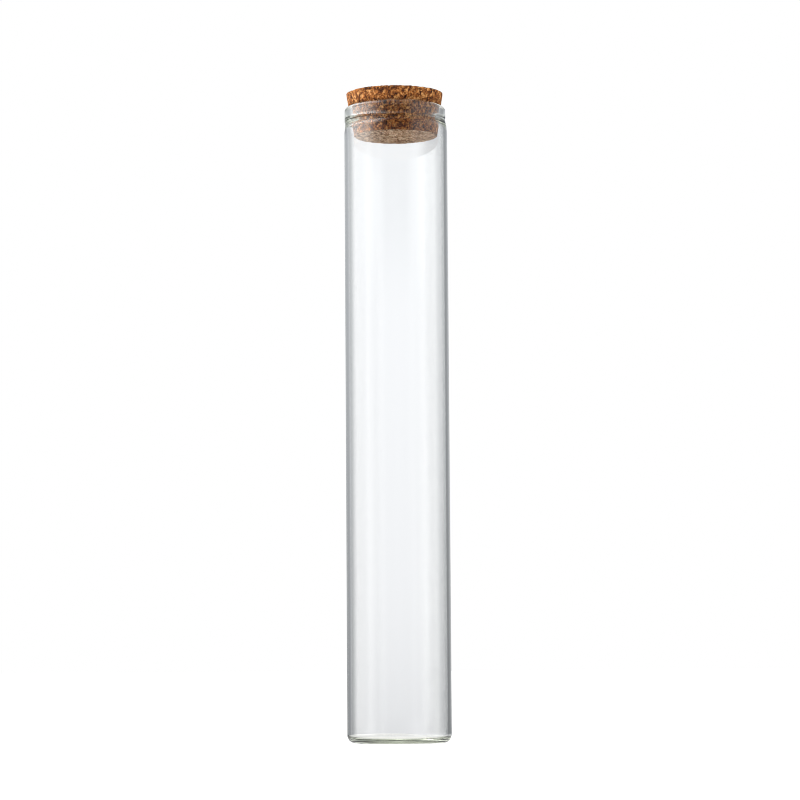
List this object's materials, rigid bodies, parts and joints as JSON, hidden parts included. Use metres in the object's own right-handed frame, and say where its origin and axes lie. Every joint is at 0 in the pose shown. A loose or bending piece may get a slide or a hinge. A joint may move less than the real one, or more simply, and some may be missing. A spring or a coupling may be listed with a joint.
{
  "type": "corked test tube",
  "caption": "Straight clear glass tube with a flat bottom and a rounded, tooled lip, closed by a short tapered cork that pulls out of the mouth.",
  "frame": {"origin": "middle of the face that the tube stands on", "axes": "+Z along the tube's axis, from the flat bottom towards the mouth and the cork; the tube and the cork are round about Z, so +X and +Y are free"},
  "size_m": [0.0244, 0.0244, 0.1534],
  "materials": {
    "clear_glass": "polished",
    "cork": "matte"
  },
  "bodies": {
    "tube": {"glass_tube": "clear_glass"},
    "cork": {"cork_stopper": "cork"}
  },
  "joints": [
    {"name": "cork_pull", "type": "slide", "parent": "tube", "child": "cork", "axis": [0, 0, 1], "range_m": [0, 0.04]}
  ]
}
